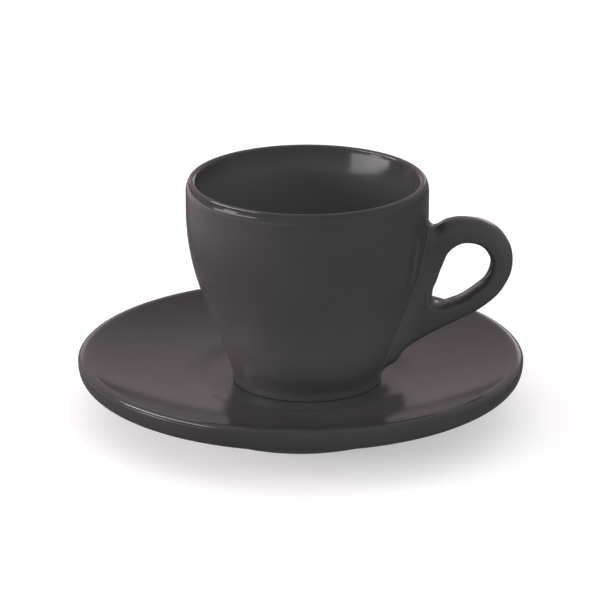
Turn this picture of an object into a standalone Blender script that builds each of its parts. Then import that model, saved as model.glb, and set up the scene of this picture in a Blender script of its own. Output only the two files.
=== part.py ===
"""Cappuccino cup with its saucer, in charcoal glazed stoneware.

Three pieces in metres, +Z up, with the origin under the middle of the saucer's foot ring:
the turned cup, the ear handle that is luted to the cup's wall, and the turned saucer.
"""

import math

import bmesh
import bpy
from mathutils import Vector

# Cup, turned about its own upright axis
CUP_HEIGHT = 0.0721
CUP_RIM_RADIUS = 0.0419
CUP_WALL = 0.0063
CUP_LIP_WALL = 0.0034  # the hollow opens out upwards, which leaves this much under the lip
CUP_FLARE_DEPTH = 0.0062  # straight leaning stretch under the lip
CUP_FLARE_LEAN = 15.0  # degrees off the upright
CUP_FLARE_END = 0.0200  # from the lip down to where the wall has its full thickness
CUP_BELLY_RADIUS = 0.083  # arc of the outer wall, seen in section
CUP_BAND_DEPTH = 0.0110  # the wall stands upright from the lip down to here
CUP_BELLY_SHARE = 0.98  # most of the longest possible belly arc that is used
CUP_FOOT_RADIUS = 0.0261
CUP_FOOT_HEIGHT = 0.0033
CUP_FOOT_WIDTH = 0.0036
CUP_FOOT_ROUNDING = 0.0009
CUP_FOOT_RECESS = 0.0020
CUP_FLOOR_THICKNESS = 0.0048
CUP_BOWL_RADIUS = 0.016  # rounding between the inner wall and the floor
LIP_CREST_INSET = 0.0018  # from the outer wall in to the highest ring of the lip
LIP_OUTER_DROP = 0.0043
LIP_INNER_DROP = 0.0010
LIP_FULLNESS = 0.56  # how far the lip bulges inside its crest, as a share of its drop and width

# Saucer, turned about the world's Z axis
SAUCER_DIAMETER = 0.1554
SAUCER_HEIGHT = 0.0229
SAUCER_THICKNESS = 0.0076
SAUCER_BASE_THICKNESS = 0.0057
SAUCER_DISH_RADIUS = 0.145  # arc of the hollow upper face, seen in section
SAUCER_FOOT_RADIUS = 0.040
SAUCER_FOOT_WIDTH = 0.0036
SAUCER_FOOT_FLARE = 0.0014  # the foot ring is this much wider where it meets the flange
RIM_CREST_INSET = 0.0026  # from the outer edge in to the highest ring
RIM_CREASE_INSET = 0.0039  # from the outer edge in to the end of the hollow face
RIM_CREASE_DROP = 0.0003
RIM_NOSE_DROP = 0.0016  # from the highest ring down to the widest one
RIM_UNDERCUT = 0.0052  # from the outer edge in to the start of the underside
RIM_FULLNESS = 0.56  # how far the rim bulges under its widest ring, as a share of its drop
WELL_CLEARANCE = 0.0084  # room round the cup's foot
WELL_DEPTH = 0.0012
WELL_STEP_WIDTH = 0.0018
WELL_FLOOR = 0.0137  # height of the well's floor

# Handle, an ear in the plane of the cup's axis
HANDLE_THICKNESS = 0.0106
HANDLE_EDGE_RADIUS = 0.0035
HANDLE_ROUNDING_SHARE = 0.46  # most of a strap or of the thickness that one rounded edge takes
HANDLE_BURIED = 0.008  # the blank starts this far inside the wall, which then cuts it
# Edge of the ear, from the wall under the lip round to the wall over the foot:
# each point is its distance out from the wall and its height above the cup's foot
HANDLE_EDGE = (
    (0.0010, 0.0543),
    (0.0064, 0.0573),
    (0.0137, 0.0580),
    (0.0213, 0.0561),
    (0.0273, 0.0510),
    (0.0312, 0.0430),
    (0.0310, 0.0332),
    (0.0267, 0.0262),
    (0.0195, 0.0210),
    (0.0114, 0.0156),
    (0.0057, 0.0105),
    (0.0032, 0.0053),
)
# Edge of the finger hole, measured in the same way
HANDLE_HOLE = (
    (0.0151, 0.0494),
    (0.0092, 0.0471),
    (0.0073, 0.0411),
    (0.0070, 0.0360),
    (0.0070, 0.0317),
    (0.0090, 0.0279),
    (0.0146, 0.0286),
    (0.0202, 0.0327),
    (0.0236, 0.0383),
    (0.0218, 0.0455),
)

# Placing
CUP_SHIFT = 0.0023  # the cup stands this far off the saucer's middle, towards its handle
JOINT_GAP = 0.0003  # between pieces that touch

# Fineness of the meshes
CUP_STEPS = 48
SAUCER_STEPS = 60
WALL_STEPS = 8
FLARE_STEPS = 5
BOWL_STEPS = 6
LIP_STEPS = 5
FOOT_STEPS = 3
DISH_STEPS = 8
RIM_STEPS = 5
WELL_STEPS = 4
OUTLINE_STEPS = 5  # straight lengths between two points of the handle's outline
EDGE_STEPS = 2
WELD_DISTANCE = 0.00001

# Finish
GLAZE_COLOUR = (0.040, 0.038, 0.039, 1.0)
GLAZE_ROUGHNESS = 0.12


def clear_scene():
    for obj in list(bpy.data.objects):
        bpy.data.objects.remove(obj, do_unlink=True)


def new_collection(name):
    collection = bpy.data.collections.new(name)
    bpy.context.scene.collection.children.link(collection)
    return collection


def glaze(name):
    material = bpy.data.materials.new(name)
    material.use_nodes = True
    material.diffuse_color = GLAZE_COLOUR
    shader = material.node_tree.nodes["Principled BSDF"]
    shader.inputs["Base Color"].default_value = GLAZE_COLOUR
    shader.inputs["Roughness"].default_value = GLAZE_ROUGHNESS
    shader.inputs["Metallic"].default_value = 0.0
    return material


def ellipse_arc(centre, width, height, start, end, count):
    """Points in the section plane, from one angle in degrees to another."""
    points = []
    for i in range(count + 1):
        angle = math.radians(start + (end - start) * i / count)
        points.append((centre[0] + width * math.cos(angle), centre[1] + height * math.sin(angle)))
    return points


def circle_arc(centre, radius, start, end, count):
    return ellipse_arc(centre, radius, radius, start, end, count)


def cubic_arc(first, first_handle, last_handle, last, count):
    """Points in the section plane, on a Bezier curve with two handles."""
    points = []
    for i in range(count + 1):
        t = i / count
        near = (1 - t) ** 2 * ((1 - t) * first + 3 * t * first_handle)
        far = t ** 2 * (3 * (1 - t) * last_handle + t * last)
        points.append(tuple(near + far))
    return points


def turned(name, profile, steps, collection):
    """A profile of (radius, height) points, turned about the object's own Z axis."""
    mesh = bpy.data.meshes.new(name)
    edges = [(i, i + 1) for i in range(len(profile) - 1)]
    mesh.from_pydata([(radius, 0.0, height) for radius, height in profile], edges, [])
    obj = bpy.data.objects.new(name, mesh)
    collection.objects.link(obj)
    screw = obj.modifiers.new("Turn", "SCREW")
    screw.axis = "Z"
    screw.angle = math.tau
    screw.steps = steps
    screw.render_steps = steps
    screw.use_smooth_shade = True
    screw.use_merge_vertices = True
    screw.merge_threshold = WELD_DISTANCE
    return obj


# The cup's outer wall in section: a cone that rises from the foot and runs into the belly arc,
# which ends upright under the lip. The arc is limited where it would use up the whole cone.
def belly_radius():
    rise = CUP_HEIGHT - CUP_BAND_DEPTH - CUP_FOOT_HEIGHT
    spread = CUP_RIM_RADIUS - CUP_FOOT_RADIUS
    longest = (rise ** 2 + spread ** 2) / (2 * spread)
    return min(CUP_BELLY_RADIUS, CUP_BELLY_SHARE * longest)


def belly_centre():
    return Vector((CUP_RIM_RADIUS - belly_radius(), CUP_HEIGHT - CUP_BAND_DEPTH))


def cone_foot():
    return Vector((CUP_FOOT_RADIUS, CUP_FOOT_HEIGHT))


def cone_slope():
    """Angle of the cone's side above the level, in radians, at which it touches the belly arc."""
    to_centre = belly_centre() - cone_foot()
    return math.atan2(to_centre.y, to_centre.x) - math.asin(belly_radius() / to_centre.length)


def cone_normal():
    return Vector((math.sin(cone_slope()), -math.cos(cone_slope())))


def belly_arc(offset, count):
    """From its upright end down to the cone, set off from the outer wall."""
    end = math.degrees(cone_slope()) - 90
    return circle_arc(belly_centre(), belly_radius() + offset, 0, end, count)


def wall_radius(height):
    """Radius of the cup's outer wall at a height above its foot."""
    centre = belly_centre()
    cone_top = centre + cone_normal() * belly_radius()
    if height > centre.y:
        return CUP_RIM_RADIUS
    if height > cone_top.y:
        return centre.x + math.sqrt(belly_radius() ** 2 - (height - centre.y) ** 2)
    return CUP_FOOT_RADIUS + max(0.0, height - CUP_FOOT_HEIGHT) / math.tan(cone_slope())


def bowl_arc(floor, count):
    """From the flat floor up into the inner wall."""
    normal = cone_normal()
    along = Vector((-normal.y, normal.x))
    start = cone_foot() - normal * (CUP_WALL + CUP_BOWL_RADIUS)
    centre = start + along * ((floor + CUP_BOWL_RADIUS - start.y) / along.y)
    return circle_arc(centre, CUP_BOWL_RADIUS, -90, math.degrees(cone_slope()) - 90, count)


def full_wall(count):
    """Inner side of the wall, from the cone up to where the flare starts."""
    reach = belly_radius() - CUP_WALL
    end = -math.degrees(math.asin((CUP_FLARE_END - CUP_BAND_DEPTH) / reach))
    return circle_arc(belly_centre(), reach, math.degrees(cone_slope()) - 90, end, count)


def flare_direction():
    lean = math.radians(CUP_FLARE_LEAN)
    return Vector((math.sin(lean), math.cos(lean)))


def flare_top():
    return Vector((CUP_RIM_RADIUS - CUP_LIP_WALL, CUP_HEIGHT - LIP_INNER_DROP))


def flare_bend(start, count):
    """From the full wall up into the straight stretch under the lip."""
    from_centre = (start - belly_centre()).normalized()
    along = Vector((-from_centre.y, from_centre.x))
    end = flare_top() - flare_direction() * CUP_FLARE_DEPTH
    pull = (end.y - start.y) / 3
    return cubic_arc(start, start + along * pull, end - flare_direction() * pull, end, count)


def lip_arcs():
    """From the inner wall over the crest to the outer wall."""
    start = flare_top()
    crest = Vector((CUP_RIM_RADIUS - LIP_CREST_INSET, CUP_HEIGHT))
    start_handle = start + flare_direction() * (LIP_FULLNESS * LIP_INNER_DROP)
    crest_handle = crest - Vector((LIP_FULLNESS * (crest.x - start.x), 0.0))
    inner = cubic_arc(start, start_handle, crest_handle, crest, LIP_STEPS)
    outer_middle = (crest.x, CUP_HEIGHT - LIP_OUTER_DROP)
    outer = ellipse_arc(outer_middle, LIP_CREST_INSET, LIP_OUTER_DROP, 90, 0, LIP_STEPS)
    return inner + outer[1:]


def cup_profile():
    floor = CUP_FOOT_RECESS + CUP_FLOOR_THICKNESS
    wall = full_wall(WALL_STEPS)
    flare = flare_bend(Vector(wall[-1]), FLARE_STEPS)
    inside = [(0.0, floor)] + bowl_arc(floor, BOWL_STEPS) + wall + flare[1:]
    foot_centre = (CUP_FOOT_RADIUS - CUP_FOOT_ROUNDING, CUP_FOOT_ROUNDING)
    foot = circle_arc(foot_centre, CUP_FOOT_ROUNDING, 0, -90, FOOT_STEPS)
    outside = belly_arc(0.0, WALL_STEPS) + [tuple(cone_foot())] + foot
    foot_inner = CUP_FOOT_RADIUS - CUP_FOOT_WIDTH
    recess = foot_inner - CUP_FOOT_RECESS / 2
    underside = [(foot_inner, 0.0), (recess, CUP_FOOT_RECESS), (0.0, CUP_FOOT_RECESS)]
    return inside + lip_arcs() + outside + underside


def wall_cutter_profile():
    """The cup without its hollow, larger all over by the joint's gap."""
    wall = belly_arc(JOINT_GAP, WALL_STEPS)
    foot = cone_foot() + cone_normal() * JOINT_GAP
    top = [(0.0, CUP_HEIGHT), (wall[0][0], CUP_HEIGHT)]
    return top + wall + [tuple(foot), (foot.x, 0.0), (0.0, 0.0)]


# The handle's outline lies in a plane through the cup's axis: x is the radius and y the height
def from_wall(points):
    return [(wall_radius(height) + out, height) for out, height in points]


def buried_edge(edge):
    """Straight edge inside the wall, from the tail's end back up to the loop's start."""
    top = edge[0][1]
    bottom = edge[-1][1]
    heights = (bottom, (bottom + top) / 2, top)
    return [(wall_radius(height) - HANDLE_BURIED, height) for height in heights]


def add_outline(curve, points, handle_types):
    spline = curve.splines.new("BEZIER")
    spline.bezier_points.add(len(points) - 1)
    spline.use_cyclic_u = True
    for knot, (radius, height), handle_type in zip(spline.bezier_points, points, handle_types):
        knot.co = (radius, height, 0.0)
        knot.handle_left_type = handle_type
        knot.handle_right_type = handle_type


def rounding_of(edge, hole):
    """The rounding of the handle's edges, limited by its narrowest strap and its thickness."""
    strap = min(math.dist(a, b) for a in edge for b in hole)
    narrowest = min(strap, HANDLE_THICKNESS)
    return min(HANDLE_EDGE_RADIUS, HANDLE_ROUNDING_SHARE * narrowest)


def handle_blank(collection):
    """The ear before it is cut to the wall, as a mesh."""
    edge = from_wall(HANDLE_EDGE)
    hole = from_wall(HANDLE_HOLE)
    buried = buried_edge(edge)
    curve = bpy.data.curves.new("handle_outline", "CURVE")
    curve.dimensions = "2D"
    curve.fill_mode = "BOTH"
    curve.resolution_u = OUTLINE_STEPS
    add_outline(curve, edge + buried, ["AUTO"] * len(edge) + ["VECTOR"] * len(buried))
    add_outline(curve, hole, ["AUTO"] * len(hole))
    rounding = rounding_of(edge, hole)
    curve.bevel_depth = rounding
    curve.bevel_resolution = EDGE_STEPS
    curve.offset = -rounding
    curve.extrude = HANDLE_THICKNESS / 2 - rounding
    outline = bpy.data.objects.new("handle_outline", curve)
    outline.rotation_euler = (math.pi / 2, 0.0, 0.0)
    collection.objects.link(outline)
    bpy.context.view_layer.update()
    evaluated = outline.evaluated_get(bpy.context.evaluated_depsgraph_get())
    mesh = bpy.data.meshes.new_from_object(evaluated)
    mesh.name = "cup_handle"
    mesh.transform(outline.matrix_world)
    bpy.data.objects.remove(outline, do_unlink=True)
    shell = bmesh.new()
    shell.from_mesh(mesh)
    bmesh.ops.remove_doubles(shell, verts=shell.verts, dist=WELD_DISTANCE)
    bmesh.ops.recalc_face_normals(shell, faces=shell.faces)
    shell.to_mesh(mesh)
    shell.free()
    return mesh


def add_cup_body(axis, collection):
    cup = turned("cup_body", cup_profile(), CUP_STEPS, collection)
    cup.parent = axis
    cup.data.materials.append(glaze("cup_glaze"))


def add_cup_handle(axis, collection, cutters):
    cutter = turned("wall_cutter", wall_cutter_profile(), CUP_STEPS, cutters)
    cutter.parent = axis
    cutter.hide_render = True
    cutter.display_type = "WIRE"
    handle = bpy.data.objects.new("cup_handle", handle_blank(collection))
    collection.objects.link(handle)
    handle.parent = axis
    handle.data.shade_smooth()
    handle.data.materials.clear()
    handle.data.materials.append(glaze("handle_glaze"))
    cut = handle.modifiers.new("Fit to wall", "BOOLEAN")
    cut.operation = "DIFFERENCE"
    cut.solver = "EXACT"
    cut.object = cutter


# The saucer's hollow face in section: an arc from the edge of the well up to the crease of the rim
def well_radius():
    return CUP_FOOT_RADIUS + WELL_CLEARANCE


def dish_ends():
    low = Vector((well_radius(), WELL_FLOOR + WELL_DEPTH))
    high = Vector((SAUCER_DIAMETER / 2 - RIM_CREASE_INSET, SAUCER_HEIGHT - RIM_CREASE_DROP))
    return low, high


def dish_centre():
    low, high = dish_ends()
    chord = high - low
    middle = (low + high) / 2
    height = math.sqrt(SAUCER_DISH_RADIUS ** 2 - (chord.length / 2) ** 2)
    return middle + Vector((-chord.y, chord.x)).normalized() * height


def dish_angle(point):
    offset = Vector(point) - dish_centre()
    return math.degrees(math.atan2(offset.y, offset.x))


def underside_point(radius):
    """The point of the underside at a radius, a saucer's thickness outside the hollow face."""
    centre = dish_centre()
    reach = SAUCER_DISH_RADIUS + SAUCER_THICKNESS
    return Vector((radius, centre.y - math.sqrt(reach ** 2 - (radius - centre.x) ** 2)))


def well_step(count):
    """Soft step from the well's floor up to the hollow face."""
    points = []
    for i in range(count + 1):
        rise = (1 - math.cos(math.pi * i / count)) / 2
        radius = well_radius() - WELL_STEP_WIDTH * (1 - i / count)
        points.append((radius, WELL_FLOOR + WELL_DEPTH * rise))
    return points


def rim_arcs(outer):
    """Over the rim's crest, round its nose and into the underside."""
    widest = Vector((outer, SAUCER_HEIGHT - RIM_NOSE_DROP))
    crest = (outer - RIM_CREST_INSET, widest.y)
    top = ellipse_arc(crest, RIM_CREST_INSET, RIM_NOSE_DROP, 90, 0, RIM_STEPS)
    under = underside_point(outer - RIM_UNDERCUT)
    drop = widest.y - under.y
    away = (under - dish_centre()).normalized()
    along = Vector((-away.y, away.x))
    bulge = RIM_FULLNESS * drop
    nose = cubic_arc(widest, widest - Vector((0.0, bulge)), under + along * bulge, under, RIM_STEPS)
    return top + nose[1:]


def saucer_profile():
    outer = SAUCER_DIAMETER / 2
    low, high = dish_ends()
    centre = dish_centre()
    dish = circle_arc(centre, SAUCER_DISH_RADIUS, dish_angle(low), dish_angle(high), DISH_STEPS)
    foot_top = underside_point(SAUCER_FOOT_RADIUS + SAUCER_FOOT_FLARE)
    start = underside_point(outer - RIM_UNDERCUT)
    reach = SAUCER_DISH_RADIUS + SAUCER_THICKNESS
    underside = circle_arc(centre, reach, dish_angle(start), dish_angle(foot_top), DISH_STEPS)
    foot_inner = SAUCER_FOOT_RADIUS - SAUCER_FOOT_WIDTH
    ceiling = WELL_FLOOR - SAUCER_BASE_THICKNESS
    foot = [
        (SAUCER_FOOT_RADIUS, 0.0),
        (foot_inner, 0.0),
        (foot_inner - SAUCER_FOOT_FLARE, ceiling),
        (0.0, ceiling),
    ]
    well = [(0.0, WELL_FLOOR)] + well_step(WELL_STEPS)
    return well + dish[1:] + rim_arcs(outer) + underside[1:] + foot


def add_saucer(collection):
    saucer = turned("saucer", saucer_profile(), SAUCER_STEPS, collection)
    saucer.data.materials.append(glaze("saucer_glaze"))


def main():
    clear_scene()
    parts = new_collection("cappuccino_cup_with_saucer")
    cutters = new_collection("cutters")
    add_saucer(parts)
    axis = bpy.data.objects.new("cup_axis", None)
    axis.location = (CUP_SHIFT, 0.0, WELL_FLOOR + JOINT_GAP)
    parts.objects.link(axis)
    add_cup_body(axis, parts)
    add_cup_handle(axis, parts, cutters)
    bpy.context.view_layer.update()


main()
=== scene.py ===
import math

import bmesh
import bpy
import numpy as np
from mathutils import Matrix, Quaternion, Vector


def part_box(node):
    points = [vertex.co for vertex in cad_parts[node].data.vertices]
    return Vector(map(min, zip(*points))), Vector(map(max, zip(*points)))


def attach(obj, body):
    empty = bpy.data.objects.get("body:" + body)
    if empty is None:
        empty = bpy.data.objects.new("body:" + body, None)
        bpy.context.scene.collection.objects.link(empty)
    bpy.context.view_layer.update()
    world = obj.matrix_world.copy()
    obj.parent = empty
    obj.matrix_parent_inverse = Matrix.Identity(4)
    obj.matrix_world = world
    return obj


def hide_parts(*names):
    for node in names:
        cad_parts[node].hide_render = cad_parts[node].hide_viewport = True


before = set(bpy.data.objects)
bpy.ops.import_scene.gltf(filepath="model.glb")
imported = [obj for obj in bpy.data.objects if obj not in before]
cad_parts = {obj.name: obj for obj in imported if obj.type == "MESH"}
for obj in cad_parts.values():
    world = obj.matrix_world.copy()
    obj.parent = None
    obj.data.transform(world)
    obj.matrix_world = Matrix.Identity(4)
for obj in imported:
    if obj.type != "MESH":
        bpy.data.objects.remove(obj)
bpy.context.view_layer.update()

scene = bpy.context.scene
scene.view_settings.view_transform = "Standard"
cupLow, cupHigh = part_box("cup_body")
saucerLow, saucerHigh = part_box("saucer")
print("frame loaded:", ", ".join(sorted(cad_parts)))


# outlines are lists of (radius, height) points in metres
def arcPoints(middle, across, up, start, end, steps):  # stretch of an ellipse, angles in degrees
    turns = [math.radians(start + (end - start) * i / steps) for i in range(steps + 1)]
    return [(middle[0] + across * math.cos(t), middle[1] + up * math.sin(t)) for t in turns]


def bendPoints(first, firstPull, lastPull, last, steps):  # stretch of a Bezier curve
    points = []
    for i in range(steps + 1):
        t = i / steps
        near = (1 - t) ** 2 * ((1 - t) * Vector(first) + 3 * t * Vector(firstPull))
        far = t ** 2 * (3 * (1 - t) * Vector(lastPull) + t * Vector(last))
        points.append(tuple(near + far))
    return points


def roundedCorner(before, corner, after, steps):  # from one point to another, round the corner
    fullness = 0.6  # how far the pulls reach towards the corner
    pullIn = Vector(before).lerp(Vector(corner), fullness)
    pullOut = Vector(after).lerp(Vector(corner), fullness)
    return bendPoints(before, pullIn, pullOut, after, steps)


def shareAt(place, rows):  # the painted light share, from rows of (place, share)
    return float(np.interp(place, *zip(*rows)))


def turnOnWheel(name, outline, shares, middle, settings):
    turns = settings["turns"]
    shell = bmesh.new()
    # painted light: each ring carries a share that lifts the glaze's tone where shade falls
    paintedLightShare = shell.verts.layers.float.new("paintedLightShare")
    rings = []
    for (radius, height), share in zip(outline, shares):
        count = turns if radius > 1e-6 else 1  # a single point on the axis
        angles = [math.tau * i / turns for i in range(count)]
        spots = [(radius * math.cos(a), radius * math.sin(a), height) for a in angles]
        rings.append([shell.verts.new(middle + Vector(spot)) for spot in spots])
        for vertex in rings[-1]:
            vertex[paintedLightShare] = share
    for upper, lower in zip(rings, rings[1:]):
        for i in range(turns):
            j = (i + 1) % turns
            corners = [upper[i % len(upper)], lower[i % len(lower)]]
            if len(lower) > 1:
                corners.append(lower[j])
            if len(upper) > 1:
                corners.append(upper[j])
            shell.faces.new(corners)
    bmesh.ops.recalc_face_normals(shell, faces=shell.faces)
    for face in shell.faces:
        face.smooth = True
        face.material_index = int(face.calc_center_median().z < middle.z + settings["bareBelow"])
    return addPiece(name, shell)


def addPiece(name, shell):
    mesh = bpy.data.meshes.new(name)
    shell.to_mesh(mesh)
    shell.free()
    piece = bpy.data.objects.new(name, mesh)
    scene.collection.objects.link(piece)
    return piece


# finishes
glaze = {
    "deepTone": (0.0240, 0.0236, 0.0240, 1.0),  # the glaze's own dark tone, where no painted light is added
    "paintedLightTone": (0.0800, 0.0790, 0.0800, 1.0),  # painted light: the lighter tone that the painted light share lifts the glaze towards
    "edgeAndHighlightTone": (0.0600, 0.0570, 0.0575, 1.0),  # where it runs thin off a crest; it also stands as a painted highlight line along the lip
    "speckTone": (0.0500, 0.0485, 0.0490, 1.0),
    "drift": 0.04,  # slow change of the pale share over a few centimetres
    "driftScale": 26.0,
    "driftSpan": (0.35, 0.65),  # a span is the stretch of a noise that is used
    "speckShare": 0.18,
    "speckScale": 1300.0,
    "speckSpan": (0.66, 0.74),
    "edgeDepths": (0.0005, 0.0001),  # the edge tone comes in between these depths under a crest
    "edgeShare": 0.35,
    "patchScale": 90.0,  # it comes in patches
    "patchSpan": (0.3, 0.6),
    "patchShares": (0.45, 1.0),
    "specular": 0.16,
    "roughness": (0.10, 0.15),
    "glossScale": 60.0,
    "glossSpan": (0.3, 0.7),
    "dullness": 0.10,  # added to the roughness along with the painted light share
    "peelScale": 230.0,  # the faint unevenness of a fired glaze
    "peelHeight": 0.00001,
}
clay = {
    "groundTone": (0.300, 0.255, 0.215, 1.0),
    "grainTone": (0.420, 0.370, 0.315, 1.0),
    "grainScale": 900.0,
    "grainHeight": 0.00008,
    "roughness": 0.82,
}


class NodeBench:  # a material and its nodes
    def __init__(self, name):
        self.material = bpy.data.materials.new(name)
        self.material.use_nodes = True
        self.tree = self.material.node_tree
        self.shader = self.tree.nodes["Principled BSDF"]
        self.place = self.add("ShaderNodeTexCoord").outputs["Object"]

    def add(self, kind):
        return self.tree.nodes.new(kind)

    def link(self, source, target):
        self.tree.links.new(source, target)

    def noise(self, scale, detail):
        node = self.add("ShaderNodeTexNoise")
        node.inputs["Scale"].default_value = scale
        node.inputs["Detail"].default_value = detail
        self.link(self.place, node.inputs["Vector"])
        return node.outputs["Fac"]

    def remap(self, source, fromRange, toRange):
        node = self.add("ShaderNodeMapRange")
        node.inputs["From Min"].default_value = fromRange[0]
        node.inputs["From Max"].default_value = fromRange[1]
        node.inputs["To Min"].default_value = toRange[0]
        node.inputs["To Max"].default_value = toRange[1]
        self.link(source, node.inputs["Value"])
        return node.outputs["Result"]

    def blendTones(self, amount, first, second):  # a tone is a fixed colour or a node's output
        node = self.add("ShaderNodeMix")
        node.data_type = "RGBA"
        self.link(amount, node.inputs["Factor"])
        for socket, tone in ((node.inputs[6], first), (node.inputs[7], second)):
            if isinstance(tone, tuple):
                socket.default_value = tone
            else:
                self.link(tone, socket)
        return node.outputs[2]

    def combine(self, operation, first, second):
        node = self.add("ShaderNodeMath")
        node.operation = operation
        self.link(first, node.inputs[0])
        self.link(second, node.inputs[1])
        return node.outputs["Value"]

    def times(self, first, second):
        return self.combine("MULTIPLY", first, second)

    def plus(self, first, second):
        return self.combine("ADD", first, second)

    def bump(self, source, height):
        node = self.add("ShaderNodeBump")
        node.inputs["Strength"].default_value = 1.0
        node.inputs["Distance"].default_value = height
        self.link(source, node.inputs["Height"])
        self.link(node.outputs["Normal"], self.shader.inputs["Normal"])


def charcoalGlaze(name, crest=None):  # crest is the height of an edge that the glaze thins on and that carries a painted highlight line
    bench = NodeBench(name)
    # painted light: the share read here lifts the dark glaze towards a lighter tone
    share = bench.add("ShaderNodeAttribute")
    share.attribute_name = "paintedLightShare"
    slow = bench.noise(glaze["driftScale"], detail=3.0)
    drift = bench.remap(slow, glaze["driftSpan"], (-glaze["drift"], glaze["drift"]))
    tone = bench.blendTones(bench.plus(share.outputs["Fac"], drift), glaze["deepTone"], glaze["paintedLightTone"])
    fine = bench.noise(glaze["speckScale"], detail=1.0)
    specks = bench.remap(fine, glaze["speckSpan"], (0.0, glaze["speckShare"]))
    tone = bench.blendTones(specks, tone, glaze["speckTone"])
    if crest is not None:
        # thin glaze at the crest, partly a painted highlight line along the lip
        split = bench.add("ShaderNodeSeparateXYZ")
        bench.link(bench.place, split.inputs["Vector"])
        heights = [crest - depth for depth in glaze["edgeDepths"]]
        thin = bench.remap(split.outputs["Z"], heights, (0.0, glaze["edgeShare"]))
        patches = bench.noise(glaze["patchScale"], detail=2.0)
        patchy = bench.remap(patches, glaze["patchSpan"], glaze["patchShares"])
        tone = bench.blendTones(bench.times(thin, patchy), tone, glaze["edgeAndHighlightTone"])
    bench.link(tone, bench.shader.inputs["Base Color"])
    gloss = bench.remap(bench.noise(glaze["glossScale"], detail=2.0), glaze["glossSpan"], glaze["roughness"])
    dull = bench.remap(share.outputs["Fac"], (0.0, 1.0), (0.0, glaze["dullness"]))
    bench.link(bench.plus(gloss, dull), bench.shader.inputs["Roughness"])
    bench.shader.inputs["Specular IOR Level"].default_value = glaze["specular"]
    bench.bump(bench.noise(glaze["peelScale"], detail=2.0), glaze["peelHeight"])
    return bench.material


def bareClay(name):
    bench = NodeBench(name)
    grain = bench.noise(clay["grainScale"], detail=4.0)
    tone = bench.blendTones(grain, clay["groundTone"], clay["grainTone"])
    bench.link(tone, bench.shader.inputs["Base Color"])
    bench.shader.inputs["Roughness"].default_value = clay["roughness"]
    bench.bump(grain, clay["grainHeight"])
    return bench.material


# cup, turned about its own axis
cup = {
    "rimRadius": (cupHigh.x - cupLow.x) / 2,
    "height": cupHigh.z - cupLow.z,
    "bandDepth": 0.0110,  # upright band under the lip
    "bandSteps": 4,
    "bellyRadius": 0.0830,
    "bellySteps": 24,
    "coneSteps": 6,
    "footRadius": 0.0261,
    "footHeight": 0.0033,
    "footWidth": 0.0036,
    "footRound": 0.0005,
    "footInnerRound": 0.0006,
    "footDrop": 0.00024,  # fills most of the gap under the foot
    "neckDrop": 0.0017,  # the rounding above the foot ends this far under the foot's top
    "bareBelow": -0.00018,  # no glaze from here down
    "recess": 0.0020,  # height of the hollow under the cup
    "recessStart": 0.0012,  # the foot's inner side rounds into it from this height
    "recessLean": 0.0004,
    "recessRound": 0.0012,
    "lipInset": 0.0018,
    "lipOuterDrop": 0.0043,
    "lipInnerDrop": 0.0010,
    "lipFullness": 0.56,
    "lipWall": 0.0034,
    "wall": 0.0063,
    "flareDepth": 0.0062,  # the inner wall leans out over this depth under the lip
    "flareSteps": 6,
    "flareLean": 15.0,  # degrees off the upright
    "flareEnd": 0.0200,  # from here down the wall keeps its thickness
    "floorTop": 0.0068,
    "floorSteps": 5,
    "bowlRadius": 0.0160,
    "bowlClear": 0.0005,  # the even wall ends this far above the rounding to the floor
    "wallPaintedLight": (  # height, and the painted light share there on the outer wall: lifted on the shaded cone, and at the foot, where a painted pale line hides the contact shade
        (0.0005, 0.66), (0.003, 0.56), (0.0065, 0.34), (0.016, 0.52),
        (0.036, 0.26), (0.048, 0.14), (0.066, 0.10), (0.070, 0.02),
    ),
    "hollowPaintedLight": ((0.0, 0.12), (0.008, 0.78), (0.018, 1.0)),  # the painted light share inside, by depth under the lip, lifting the shade deeper in the hollow
    "turns": 168,
}
cupMiddle = Vector(((cupLow.x + cupHigh.x) / 2, (cupLow.y + cupHigh.y) / 2, cupLow.z))


def wallSlope():  # angle of the straight cone above the foot
    centre = Vector((cup["rimRadius"] - cup["bellyRadius"], cup["height"] - cup["bandDepth"]))
    toCentre = centre - Vector((cup["footRadius"], cup["footHeight"]))
    return math.atan2(toCentre.y, toCentre.x) - math.asin(cup["bellyRadius"] / toCentre.length)


def outerWall():  # from under the lip down to the foot, as (point, outward normal)
    bandTop = cup["height"] - cup["lipOuterDrop"]
    bandEnd = cup["height"] - cup["bandDepth"]
    level = Vector((1.0, 0.0))
    steps = cup["bandSteps"]
    heights = [bandTop + (bandEnd - bandTop) * i / steps for i in range(steps)]
    wall = [(Vector((cup["rimRadius"], height)), level) for height in heights]
    centre = Vector((cup["rimRadius"] - cup["bellyRadius"], bandEnd))
    coneTurn = wallSlope() - math.pi / 2
    for i in range(cup["bellySteps"] + 1):
        turn = coneTurn * i / cup["bellySteps"]
        normal = Vector((math.cos(turn), math.sin(turn)))
        wall.append((centre + normal * cup["bellyRadius"], normal))
    coneTop, normal = wall[-1]
    foot = Vector((cup["footRadius"], cup["footHeight"]))
    steps = cup["coneSteps"]
    wall += [(coneTop.lerp(foot, i / steps), normal) for i in range(1, steps + 1)]
    return wall


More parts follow.
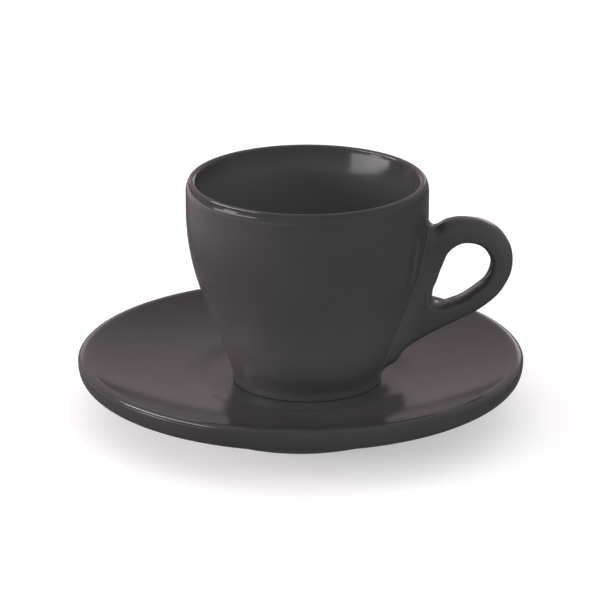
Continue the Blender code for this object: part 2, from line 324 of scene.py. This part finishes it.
def innerWall():  # from the lip down to the rounded floor
    lean = math.radians(cup["flareLean"])
    flare = Vector((-math.sin(lean), -math.cos(lean)))
    top = Vector((cup["rimRadius"] - cup["lipWall"], cup["height"] - cup["lipInnerDrop"]))
    flareFoot = top + flare * cup["flareDepth"]
    bowlTop = bowlMiddle().y + cup["bowlRadius"] * math.sin(wallSlope() - math.pi / 2)
    even = []
    for point, normal in outerWall():
        inner = point - normal * cup["wall"]
        if bowlTop + cup["bowlClear"] < inner.y < cup["height"] - cup["flareEnd"]:
            even.append(inner)
    onward = (even[1] - even[0]).normalized()
    pull = (flareFoot.y - even[0].y) / 3
    turn = bendPoints(flareFoot, flareFoot + flare * pull, even[0] - onward * pull, even[0], 12)
    steps = cup["flareSteps"]
    straight = [tuple(top.lerp(flareFoot, i / steps)) for i in range(steps)]
    return straight + turn + [tuple(inner) for inner in even[1:]]


def bowlMiddle():  # centre of the rounding between wall and floor
    slope = wallSlope()
    normal = Vector((math.sin(slope), -math.cos(slope)))
    along = Vector((math.cos(slope), math.sin(slope)))
    foot = Vector((cup["footRadius"], cup["footHeight"]))
    start = foot - normal * (cup["wall"] + cup["bowlRadius"])
    return start + along * ((cup["floorTop"] + cup["bowlRadius"] - start.y) / along.y)


def cupShares(outline):
    crest = max(range(len(outline)), key=lambda k: outline[k][1])
    depths = [cup["height"] - height for radius, height in outline[:crest]]
    heights = [height for radius, height in outline[crest:]]
    inside = [shareAt(depth, cup["hollowPaintedLight"]) for depth in depths]
    return inside + [shareAt(height, cup["wallPaintedLight"]) for height in heights]


def cupOutline():
    middle = bowlMiddle()
    slopeTurn = math.degrees(wallSlope()) - 90
    steps = cup["floorSteps"]
    flat = [(middle.x * i / steps, cup["floorTop"]) for i in range(steps)]
    bowl = arcPoints(middle, cup["bowlRadius"], cup["bowlRadius"], -90, slopeTurn, 16)
    inner = innerWall()[::-1]
    crest = (cup["rimRadius"] - cup["lipInset"], cup["height"])
    start, below = Vector(inner[-1]), Vector(inner[-2])
    lean = (start - below).normalized()
    lipPull = cup["lipFullness"] * cup["lipInnerDrop"]
    crestPull = cup["lipFullness"] * (crest[0] - start.x)
    lipIn = bendPoints(start, start + lean * lipPull, (crest[0] - crestPull, crest[1]), crest, 10)
    lipMiddle = (crest[0], cup["height"] - cup["lipOuterDrop"])
    lipOut = arcPoints(lipMiddle, cup["lipInset"], cup["lipOuterDrop"], 90, 0, 14)
    wall = [tuple(point) for point, normal in outerWall()]
    side = cup["footRadius"]
    neck = roundedCorner(wall[-2], wall[-1], (side, cup["footHeight"] - cup["neckDrop"]), 8)
    sole, bend = -cup["footDrop"], cup["footRound"]
    footOut = arcPoints((side - bend, sole + bend), bend, bend, 0, -90, 6)
    footInner, bend = side - cup["footWidth"], cup["footInnerRound"]
    innerSide = (footInner - bend / 2, sole + bend)
    footIn = roundedCorner((footInner + bend, sole), (footInner, sole), innerSide, 4)
    recess = cup["recess"]
    recessEdge = footInner - recess / 2
    recessFoot = (recessEdge + cup["recessLean"], cup["recessStart"])
    under = roundedCorner(recessFoot, (recessEdge, recess), (recessEdge - cup["recessRound"], recess), 5)
    outline = flat + bowl + inner[:-1] + lipIn + lipOut[1:] + wall[1:-2] + neck
    return outline + footOut + footIn + under + [(recessEdge / 2, recess), (0.0, recess)]


def buildCup():
    outline = cupOutline()
    body = turnOnWheel("cup_turned", outline, cupShares(outline), cupMiddle, cup)
    body.data.materials.append(charcoalGlaze("cupGlaze", cupHigh.z))
    body.data.materials.append(bareClay("cupFootClay"))
    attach(body, "cup")
    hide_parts("cup_body")
    print("cup turned:", len(body.data.polygons), "faces")


# ear handle: points are (distance out from the wall, height above the cup's foot)
ear = {
    "edge": (
        (0.0010, 0.0543), (0.0064, 0.0573), (0.0137, 0.0580), (0.0213, 0.0561),
        (0.0273, 0.0510), (0.0312, 0.0430), (0.0310, 0.0332), (0.0267, 0.0262),
        (0.0195, 0.0210), (0.0114, 0.0156), (0.0057, 0.0105), (0.0032, 0.0053),
    ),
    "hole": (
        (0.0151, 0.0494), (0.0092, 0.0471), (0.0073, 0.0411), (0.0070, 0.0360), (0.0070, 0.0317),
        (0.0091, 0.0277), (0.0148, 0.0283), (0.0205, 0.0324), (0.0239, 0.0381), (0.0220, 0.0456),
    ),
    "buried": 0.0080,  # the ear's plate starts this far inside the wall
    "depth": 0.0106,
    "edgeRound": 0.0037,
    "holeRound": 0.0021,
    "faceRound": 0.0046,
    "fillet": 0.0046,  # reach of the slip that is smoothed into the corner at the wall
    "sink": 0.00003,  # the fillet's feather edge ends this far under the wall's skin
    "feather": 0.00070,  # up to here its shading goes over into the wall's
    "root": 0.0014,  # the piece goes on this far into the wall
    "cornerOut": 0.0003,  # the painted light is strongest this far out from the wall, lifting the shade in the fillet's hollow
    "cornerPaintedLight": 0.29,  # by this share more than the wall
    "cornerEnd": 0.0009,
    "strapOut": 0.008,  # from here out it keeps one painted light share
    "strapShare": 0.24,
    "lineSteps": 7,  # between two points of the edge or the hole
    "cell": 0.0005,
    "cellMargin": 2,  # cells of the grid beyond the ear
    "cellShift": 0.3,  # of a cell, by which the grid starts further to the front
    "rounds": 2,  # of sliding the points onto the form, and of evening them out
    "flattest": 0.04,  # least square of the slope that a slide reckons with
    "nudge": 0.00002,  # the slope is measured over this
}


def wallRadius(height):
    line = [(point.y, point.x) for point, normal in outerWall()][::-1]
    return float(np.interp(height, *zip(*line)))


def loopPoints(points, kinds):  # the closed line that Blender draws through the points
    curve = bpy.data.curves.new("ear_line", "CURVE")
    curve.dimensions = "2D"
    curve.fill_mode = "NONE"
    curve.resolution_u = ear["lineSteps"]
    spline = curve.splines.new("BEZIER")
    spline.bezier_points.add(len(points) - 1)
    spline.use_cyclic_u = True
    for knot, point, kind in zip(spline.bezier_points, points, kinds):
        knot.co = (point[0], point[1], 0.0)
        knot.handle_left_type = kind
        knot.handle_right_type = kind
    holder = bpy.data.objects.new("ear_line", curve)
    scene.collection.objects.link(holder)
    bpy.context.view_layer.update()
    drawn = holder.evaluated_get(bpy.context.evaluated_depsgraph_get()).to_mesh()
    line = np.array([vertex.co[:2] for vertex in drawn.vertices])
    bpy.data.objects.remove(holder, do_unlink=True)
    bpy.data.curves.remove(curve)
    return line


def signedDistance(points, line):  # to a closed line, below zero inside
    batch, tiny = 20000, 1e-18  # so many points at a time, and no division by nought
    ends = np.roll(line, -1, axis=0)
    runs = ends - line
    lengths = np.maximum((runs ** 2).sum(1), tiny)
    result = np.empty(len(points))
    for first in range(0, len(points), batch):
        part = points[first:first + batch]
        away = part[:, None] - line[None]
        share = np.clip((away * runs).sum(2) / lengths, 0.0, 1.0)
        nearest = np.sqrt(((away - share[..., None] * runs) ** 2).sum(2).min(1))
        astride = (line[:, 1] > part[:, 1:]) != (ends[:, 1] > part[:, 1:])
        rise = np.where(runs[:, 1] == 0.0, tiny, runs[:, 1])
        crossing = line[:, 0] + (part[:, 1:] - line[:, 1]) / rise * runs[:, 0]
        inside = (astride & (part[:, :1] < crossing)).sum(1) % 2 == 1
        result[first:first + batch] = np.where(inside, -nearest, nearest)
    return result


class EarForm:  # the ear and its fillets as a field that is below zero inside
    def __init__(self):
        edge = [(wallRadius(height) + out, height) for out, height in ear["edge"]]
        hole = [(wallRadius(height) + out, height) for out, height in ear["hole"]]
        top, bottom = edge[0][1], edge[-1][1]
        buried = [(wallRadius(h) - ear["buried"], h) for h in (bottom, (bottom + top) / 2, top)]
        self.edgeLine = loopPoints(edge + buried, ["AUTO"] * len(edge) + ["VECTOR"] * len(buried))
        self.holeLine = loopPoints(hole, ["AUTO"] * len(hole))
        wall = [tuple(point) for point, normal in outerWall()]
        mouth = [(0.0, cup["height"]), (wall[0][0], cup["height"])]
        self.wallLine = np.array(mouth + wall + [(cup["footRadius"], 0.0), (0.0, 0.0)])

    def plate(self, flat):  # 1 on the ear's outline, 0 where its rounding ends
        edge = signedDistance(flat, self.edgeLine) / ear["edgeRound"]
        hole = signedDistance(flat, self.holeLine) / ear["holeRound"]
        return 1.0 + np.maximum(edge, -hole)

    def wall(self, points):  # distance out from the cup's wall
        upright = np.stack([np.hypot(points[:, 0], points[:, 1]), points[:, 2]], 1)
        return signedDistance(upright, self.wallLine)

    def mixed(self, across, depth, wall):  # the rounded strap, run into the wall by the fillet
        deep = (np.abs(depth) - ear["depth"] / 2 + ear["faceRound"]) / ear["faceRound"]
        swell = np.hypot(np.maximum(across, 0.0), np.maximum(deep, 0.0))
        strap = (swell + np.minimum(np.maximum(across, deep), 0.0) - 1.0) * ear["edgeRound"]
        skin = wall + ear["sink"]
        blend = np.maximum(ear["fillet"] - np.abs(strap - skin), 0.0) / ear["fillet"]
        joined = np.minimum(strap, skin) - blend ** 2 * ear["fillet"] / 4
        return np.maximum.reduce([joined, -wall - ear["root"], strap - ear["fillet"]])

    def at(self, points):
        return self.mixed(self.plate(points[:, [0, 2]]), points[:, 1], self.wall(points))


def netOver(values, low, cell):  # a net of four-sided faces where the field changes sign
    counts = np.array(values.shape) - 1
    total = np.zeros((*counts, 3))
    hits = np.zeros(counts)
    corner = np.stack(np.meshgrid(*[np.arange(n) for n in counts], indexing="ij"), -1).astype(float)
    shifts = [(0, 0), (0, 1), (1, 0), (1, 1)]
    for axis in range(3):
        others = [k for k in range(3) if k != axis]
        for shift in shifts:
            start = [0, 0, 0]
            start[others[0]], start[others[1]] = shift
            stop = list(start)
            stop[axis] = 1
            near = values[tuple(slice(s, s + n) for s, n in zip(start, counts))]
            far = values[tuple(slice(s, s + n) for s, n in zip(stop, counts))]
            crossed = (near < 0) != (far < 0)
            share = np.where(crossed, near / np.where(crossed, near - far, 1.0), 0.0)
            spot = corner + np.array(start, float)
            spot[..., axis] += share
            total += np.where(crossed[..., None], spot, 0.0)
            hits += crossed
    used = hits > 0
    number = np.full(counts, -1)
    number[used] = np.arange(used.sum())
    points = low + cell * total[used] / hits[used][:, None]
    faces = []
    for axis in range(3):
        a, b = [(axis + 1) % 3, (axis + 2) % 3]
        near = values[tuple(slice(0, n) for n in counts)]
        far = np.roll(values, -1, axis)[tuple(slice(0, n) for n in counts)]
        for falling in (False, True):
            found = np.argwhere(((near < 0) & (far >= 0)) if not falling else ((near >= 0) & (far < 0)))
            found = found[(found[:, a] > 0) & (found[:, b] > 0)]
            stepA, stepB = np.eye(3, dtype=int)[a], np.eye(3, dtype=int)[b]
            quad = [found, found - stepA, found - stepA - stepB, found - stepB]
            quad = quad[::-1] if falling else quad
            faces.append(np.stack([number[tuple(q.T)] for q in quad], 1))
    return points, np.concatenate(faces)


def evenOut(points, faces):  # each point to the middle of its neighbours
    total = np.zeros_like(points)
    count = np.zeros(len(points))
    for k in range(4):
        here, there = faces[:, k], faces[:, (k + 1) % 4]
        for one, other in ((here, there), (there, here)):
            np.add.at(total, one, points[other])
            np.add.at(count, one, 1)
    return total / count[:, None]


def slopeOf(field, points):
    nudge = ear["nudge"]
    value = field(points)
    return value, np.stack([field(points + nudge * axis) - value for axis in np.eye(3)], 1) / nudge


def ontoForm(form, points):  # slides the points along the slope of the field to its skin
    for i in range(ear["rounds"]):
        value, slope = slopeOf(form.at, points)
        steep = np.maximum((slope ** 2).sum(1), ear["flattest"])
        points = points - slope * (value / steep)[:, None]
    return points


def featherShading(mesh, out, away):  # no crease where the fillet runs out on the wall
    own = np.array([normal.vector[:] for normal in mesh.vertex_normals])
    fading = np.clip(1 - out / ear["feather"], 0.0, 1.0) ** 2
    share = np.where(out > -2 * ear["sink"], fading, 0.0)[:, None]
    mixed = own * (1 - share) + away * share
    mesh.normals_split_custom_set_from_vertices(mixed / np.linalg.norm(mixed, axis=1)[:, None])


def earShare(height, out):  # painted light: as the wall's at its root, more in the fillet's hollow to lift its shade, one share further out
    root = shareAt(height, cup["wallPaintedLight"])
    corner = [(0.0, root), (ear["cornerOut"], root + ear["cornerPaintedLight"]), (ear["cornerEnd"], root)]
    return shareAt(out, corner + [(ear["strapOut"], ear["strapShare"])])


def buildEar():
    form = EarForm()
    cell = ear["cell"]
    margin = ear["cellMargin"] * cell
    reach = form.edgeLine[:, 0].max() + margin
    deep = ear["depth"] / 2 + ear["fillet"] + margin  # the root stays open at the back, in the wall
    low = np.array([cup["footRadius"] - ear["buried"], -deep - ear["cellShift"] * cell, -margin])
    high = np.array([reach, deep, form.edgeLine[:, 1].max() + ear["fillet"] + margin])
    lines = [np.arange(a, b + cell, cell) for a, b in zip(low, high)]
    x, y, z = np.meshgrid(*lines, indexing="ij")
    flatX, flatZ = np.meshgrid(lines[0], lines[2], indexing="ij")
    plate = form.plate(np.stack([flatX.ravel(), flatZ.ravel()], 1)).reshape(flatX.shape)
    wall = form.wall(np.stack([x.ravel(), y.ravel(), z.ravel()], 1)).reshape(x.shape)
    values = form.mixed(np.broadcast_to(plate[:, None, :], x.shape), y, wall)
    points, faces = netOver(values, low, cell)
    points = ontoForm(form, points)
    for i in range(ear["rounds"]):
        points = ontoForm(form, evenOut(points, faces))
    shell = bmesh.new()
    # painted light: the ear's points carry the same lifting share
    paintedLightShare = shell.verts.layers.float.new("paintedLightShare")
    spots = [shell.verts.new(cupMiddle + Vector(point)) for point in points]
    out, away = slopeOf(form.wall, points)
    for spot, point, distance in zip(spots, points, out):
        spot[paintedLightShare] = earShare(point[2], distance)
    for face in faces:
        shell.faces.new([spots[k] for k in face]).smooth = True
    bmesh.ops.recalc_face_normals(shell, faces=shell.faces)
    handle = addPiece("ear_handle", shell)
    featherShading(handle.data, out, away)
    handle.data.materials.append(charcoalGlaze("handleGlaze"))
    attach(handle, "cup")
    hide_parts("cup_handle")
    print("ear formed:", len(handle.data.polygons), "faces")


# saucer, turned about the world's upright axis
saucer = {
    "radius": (saucerHigh.x - saucerLow.x) / 2,
    "height": saucerHigh.z - saucerLow.z,
    "thickness": 0.0076,
    "baseThickness": 0.0057,
    "dishRadius": 0.1450,
    "footRadius": 0.0400,
    "footWidth": 0.0036,
    "footFlare": 0.0014,
    "footLean": 0.0004,
    "footInnerLean": 0.0002,
    "footRise": 0.0009,  # height and width of the rounding at the foot's edges
    "footRun": 0.0008,
    "neckLean": 0.0006,
    "neckRound": 0.003,  # reach of the rounding between the foot and the underside
    "lidRings": (0.6, 0.3, 0.0),  # inside the foot, as shares of the radius
    "bareBelow": 0.00025,  # no glaze from here down
    "crestInset": 0.0026,
    "crestPull": 0.0008,
    "creaseInset": 0.0039,
    "creaseDrop": 0.0003,
    "creaseRound": 0.0010,
    "noseDrop": 0.0016,
    "undercut": 0.0052,
    "fullness": 0.56,
    "flangeSteps": 20,
    "wellRadius": 0.0345,  # the dish's arc is set out from this radius
    "wellDepth": 0.0012,  # and from this far above the well's floor
    "wellInner": 0.0300,  # the flat floor of the well ends here
    "wellOuter": 0.0420,  # and its soft edge has run out into the dish here
    "wellPull": 0.45,
    "wellFloor": 0.0137,
    "wellSteps": 10,
    "dishSteps": 28,
    "slopeRun": 0.0005,  # the dish's slope at the well's edge is taken over this
    "shares": ((0.036, 0.62), (0.052, 0.40), (0.068, 0.15), (0.0755, 0.08)),  # radius, painted light share: it lifts the well and inner dish, where the cup's shade and dark reflection fall
    "turns": 224,
}
saucerMiddle = Vector((0.0, 0.0, 0.0))


def dishMiddle():  # centre of the arc of the hollow face
    low = Vector((saucer["wellRadius"], saucer["wellFloor"] + saucer["wellDepth"]))
    high = Vector((saucer["radius"] - saucer["creaseInset"], saucer["height"] - saucer["creaseDrop"]))
    chord = high - low
    height = math.sqrt(saucer["dishRadius"] ** 2 - (chord.length / 2) ** 2)
    return (low + high) / 2 + Vector((-chord.y, chord.x)).normalized() * height


def onDish(radius, offset):  # point of the hollow face, or of the face at an offset under it
    middle = dishMiddle()
    reach = saucer["dishRadius"] + offset
    return (radius, middle.y - math.sqrt(reach ** 2 - (radius - middle.x) ** 2))


def saucerOutline():
    outer, height, thickness = saucer["radius"], saucer["height"], saucer["thickness"]
    inner, wellEdge, floor = saucer["wellInner"], saucer["wellOuter"], saucer["wellFloor"]
    steps = saucer["wellSteps"]
    well = [(inner * i / steps, floor) for i in range(steps)]
    edge, beyond = Vector(onDish(wellEdge, 0.0)), Vector(onDish(wellEdge + saucer["slopeRun"], 0.0))
    reach = saucer["wellPull"] * (wellEdge - inner)
    along = (beyond - edge).normalized()
    well += bendPoints((inner, floor), (inner + reach, floor), edge - along * reach, edge, 18)
    crease = outer - saucer["creaseInset"]
    steps = saucer["dishSteps"]
    dish = [onDish(wellEdge + (crease - wellEdge) * i / steps, 0.0) for i in range(1, steps)]
    crestMiddle = (outer - saucer["crestInset"], height - saucer["noseDrop"])
    turnIn = onDish(crease - saucer["creaseRound"], 0.0)
    crestTop = (crestMiddle[0], height)
    crestPull = (crestMiddle[0] - saucer["crestPull"], height)
    crestIn = bendPoints(turnIn, onDish(crease, 0.0), crestPull, crestTop, 8)
    crest = arcPoints(crestMiddle, saucer["crestInset"], saucer["noseDrop"], 90, 0, 12)
    nose = Vector(crest[-1])
    under = Vector(onDish(outer - saucer["undercut"], thickness))
    bulge = saucer["fullness"] * (nose.y - under.y)
    outward = (under - dishMiddle()).normalized()
    tangent = Vector((-outward.y, outward.x))
    noseLine = bendPoints(nose, nose - Vector((0.0, bulge)), under + tangent * bulge, under, 14)
    footRadius, rise, run = saucer["footRadius"], saucer["footRise"], saucer["footRun"]
    neckLean, neckRound = saucer["neckLean"], saucer["neckRound"]
    footTop = footRadius + saucer["footFlare"]
    last = footTop + neckRound
    steps = saucer["flangeSteps"]
    flange = [onDish(under.x + (last - under.x) * i / steps, thickness) for i in range(1, steps + 1)]
    footSide = footRadius + saucer["footLean"]
    corner = onDish(footTop, thickness)
    neck = roundedCorner(flange[-1], corner, (footSide + neckLean, corner[1] - neckRound), 8)
    footOut = roundedCorner((footSide, rise), (footRadius, 0.0), (footRadius - run, 0.0), 5)
    footInner = footRadius - saucer["footWidth"]
    innerSide = footInner - saucer["footInnerLean"]
    footIn = roundedCorner((footInner + run, 0.0), (footInner, 0.0), (innerSide, rise), 5)
    ceiling = floor - saucer["baseThickness"]
    ceilingEdge = footInner - saucer["footFlare"]
    neckFoot = (ceilingEdge + neckLean, ceiling - neckRound)
    neckIn = roundedCorner(neckFoot, (ceilingEdge, ceiling), (ceilingEdge - neckRound, ceiling), 8)
    lid = [(ceilingEdge * share, ceiling) for share in saucer["lidRings"]]
    upper = well + dish + crestIn + crest[1:] + noseLine[1:]
    return upper + flange + neck[1:] + footOut + footIn + neckIn + lid


def buildSaucer():
    outline = saucerOutline()
    shares = [shareAt(radius, saucer["shares"]) for radius, height in outline]
    plate = turnOnWheel("saucer_turned", outline, shares, saucerMiddle, saucer)
    plate.data.materials.append(charcoalGlaze("saucerGlaze", saucerHigh.z))
    plate.data.materials.append(bareClay("saucerFootClay"))
    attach(plate, "saucer")
    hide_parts("saucer")
    print("saucer turned:", len(plate.data.polygons), "faces")


# studio
studio = {
    "floorSize": 8.0,
    "floorTone": (0.72, 0.73, 0.725, 1.0),
    "floorGlow": 0.38,  # lifts the pale floor to white in the picture and in reflections
    "mattRoughness": 0.9,
    "cardLow": (-0.50, -1.20),  # a dark card on the floor, there for reflections only
    "cardHigh": (1.60, 1.20),
    "cardLift": 0.0005,
    "cardFade": (-0.31, -0.13),  # it comes in between these places, from the left
    "cardTone": (0.135, 0.135, 0.135, 1.0),
    "roomFade": (-0.3, 0.6),  # the room's front goes over into its back between these
    "frontTone": (0.50, 0.49, 0.495, 1.0),  # the room behind the viewer
    "backTones": {  # the room behind the cup, from the level up: sine of the angle, tone
        0.09: (0.17, 0.145, 0.155, 1.0),
        0.11: (0.56, 0.47, 0.50, 1.0),
        0.22: (0.66, 0.55, 0.585, 1.0),
        0.50: (0.88, 0.745, 0.785, 1.0),
        0.80: (0.90, 0.80, 0.83, 1.0),
    },
    "cameraPlace": (-0.00023, -1.2, 0.4638),
    "cameraTilt": 0.3381,  # radians below the level
    "cameraLens": 219.59,
    "cameraNear": 0.05,
    "lamps": {  # place, what it is turned to, width, height, roll, watts, colour
        "topBox": ((-0.05, -0.50, 1.6), (0.0, 0.05, 0.0), 1.6, 1.6, 0.0, 3.5, (1.0, 1.0, 1.0)),
        "frontBox": ((0.30, -1.50, 0.95), (0.0, 0.0, 0.05), 1.8, 1.2, 0.0, 8.0, (1.0, 1.0, 1.0)),
        "frontLow": ((0.38, -1.00, 0.07), (0.0, 0.0, 0.05), 1.2, 0.12, 0.0, 5.6, (1.0, 1.0, 1.0)),
        "leftBox": ((-0.974, -0.225, 0.36), (0.0, 0.0, 0.07), 0.25, 0.20, 0.0, 2.5, (1.0, 0.97, 0.98)),
        "leftStrip": ((-0.921, -0.317, 0.20), (0.0, 0.0, 0.08), 0.86, 0.10, 9.0, 3.8, (1.0, 0.97, 0.98)),
        "highStrip": ((-0.57, 0.19, 0.82), (0.0, 0.0, 0.02), 0.18, 0.60, -37.8, 9.0, (1.0, 0.93, 0.95)),
        "leftLow": ((-1.0, 0.20, 0.10), (0.0, 0.0, 0.04), 0.8, 0.16, 0.0, 11.8, (1.0, 0.71, 0.82)),
        "rightBox": ((0.95, -0.40, 0.35), (0.0, 0.0, 0.06), 0.6, 0.4, 0.0, 2.7, (1.0, 1.0, 1.0)),
        "backLeft": ((-0.36, 1.25, 0.30), (0.0, 0.0, 0.05), 0.35, 0.28, 0.0, 0.2, (1.0, 0.90, 0.94)),
        "backRight": ((0.36, 1.25, 0.30), (0.0, 0.0, 0.05), 0.35, 0.28, 0.0, 0.5, (1.0, 0.90, 0.94)),
    },
    "mirrorOnly": ("highStrip",),  # gives highlights and no light
    # lamps that the glaze reflects, the others only fill
    "mirrored": ("leftBox", "leftStrip", "highStrip", "backLeft", "backRight"),
}


def mattBench(name, tone):
    bench = NodeBench(name)
    bench.shader.inputs["Base Color"].default_value = tone
    bench.shader.inputs["Roughness"].default_value = studio["mattRoughness"]
    bench.shader.inputs["Specular IOR Level"].default_value = 0.0
    return bench


def buildFloor():
    shell = bmesh.new()
    bmesh.ops.create_grid(shell, x_segments=1, y_segments=1, size=studio["floorSize"] / 2)
    floor = addPiece("studio_floor", shell)
    bench = mattBench("paleFloor", studio["floorTone"])
    rays = bench.add("ShaderNodeLightPath")
    seen = bench.plus(rays.outputs["Is Camera Ray"], rays.outputs["Is Glossy Ray"])
    seen = bench.plus(seen, rays.outputs["Is Transmission Ray"])
    glow = bench.remap(seen, (0.0, 1.0), (0.0, studio["floorGlow"]))
    bench.shader.inputs["Emission Color"].default_value = (1.0, 1.0, 1.0, 1.0)
    bench.link(glow, bench.shader.inputs["Emission Strength"])
    floor.data.materials.append(bench.material)


def buildCard():
    shell = bmesh.new()
    low, high = studio["cardLow"], studio["cardHigh"]
    corners = [(low[0], low[1]), (high[0], low[1]), (high[0], high[1]), (low[0], high[1])]
    shell.faces.new([shell.verts.new((x, y, studio["cardLift"])) for x, y in corners])
    card = addPiece("dark_card", shell)
    bench = mattBench("darkCard", studio["cardTone"])
    split = bench.add("ShaderNodeSeparateXYZ")
    bench.link(bench.place, split.inputs["Vector"])
    bench.link(bench.remap(split.outputs["X"], studio["cardFade"], (0.0, 1.0)), bench.shader.inputs["Alpha"])
    card.data.materials.append(bench.material)
    card.visible_camera = False
    card.visible_diffuse = False
    card.visible_shadow = False


def buildLamps():
    for name, (place, aim, width, height, roll, watts, colour) in studio["lamps"].items():
        light = bpy.data.lights.new(name, "AREA")
        light.shape = "RECTANGLE"
        light.size = width
        light.size_y = height
        light.energy = watts
        light.color = colour
        lamp = bpy.data.objects.new(name, light)
        lamp.location = place
        lamp.visible_camera = False
        lamp.visible_glossy = name in studio["mirrored"]
        lamp.visible_diffuse = name not in studio["mirrorOnly"]
        turn = (Vector(aim) - Vector(place)).to_track_quat("-Z", "Y")
        lamp.rotation_euler = (turn @ Quaternion((0.0, 0.0, 1.0), math.radians(roll))).to_euler()
        scene.collection.objects.link(lamp)


def buildRoom():
    room = bpy.data.worlds.new("room")
    room.use_nodes = True
    tree = room.node_tree
    direction = tree.nodes.new("ShaderNodeTexCoord").outputs["Generated"]
    split = tree.nodes.new("ShaderNodeSeparateXYZ")
    tree.links.new(direction, split.inputs["Vector"])
    fade = tree.nodes.new("ShaderNodeMapRange")
    fade.inputs["From Min"].default_value = studio["roomFade"][0]
    fade.inputs["From Max"].default_value = studio["roomFade"][1]
    tree.links.new(split.outputs["Y"], fade.inputs["Value"])
    mix = tree.nodes.new("ShaderNodeMix")
    mix.data_type = "RGBA"
    mix.inputs[6].default_value = studio["frontTone"]
    back = tree.nodes.new("ShaderNodeValToRGB")
    marks = back.color_ramp.elements
    while len(marks) < len(studio["backTones"]):
        marks.new(0.5)
    for mark, (spot, tone) in zip(marks, studio["backTones"].items()):
        mark.position = spot
        mark.color = tone
    tree.links.new(split.outputs["Z"], back.inputs["Fac"])
    tree.links.new(back.outputs["Color"], mix.inputs[7])
    tree.links.new(fade.outputs["Result"], mix.inputs["Factor"])
    tree.links.new(mix.outputs[2], tree.nodes["Background"].inputs["Color"])
    scene.world = room


def buildCamera():
    lens = bpy.data.cameras.new("viewer")
    lens.lens = studio["cameraLens"]
    lens.clip_start = studio["cameraNear"]
    viewer = bpy.data.objects.new("viewer", lens)
    viewer.location = studio["cameraPlace"]
    viewer.rotation_euler = (math.pi / 2 - studio["cameraTilt"], 0.0, 0.0)
    scene.collection.objects.link(viewer)
    scene.camera = viewer


buildCup()
buildEar()
buildSaucer()
buildFloor()
buildCard()
buildLamps()
buildRoom()
buildCamera()
print("studio set")
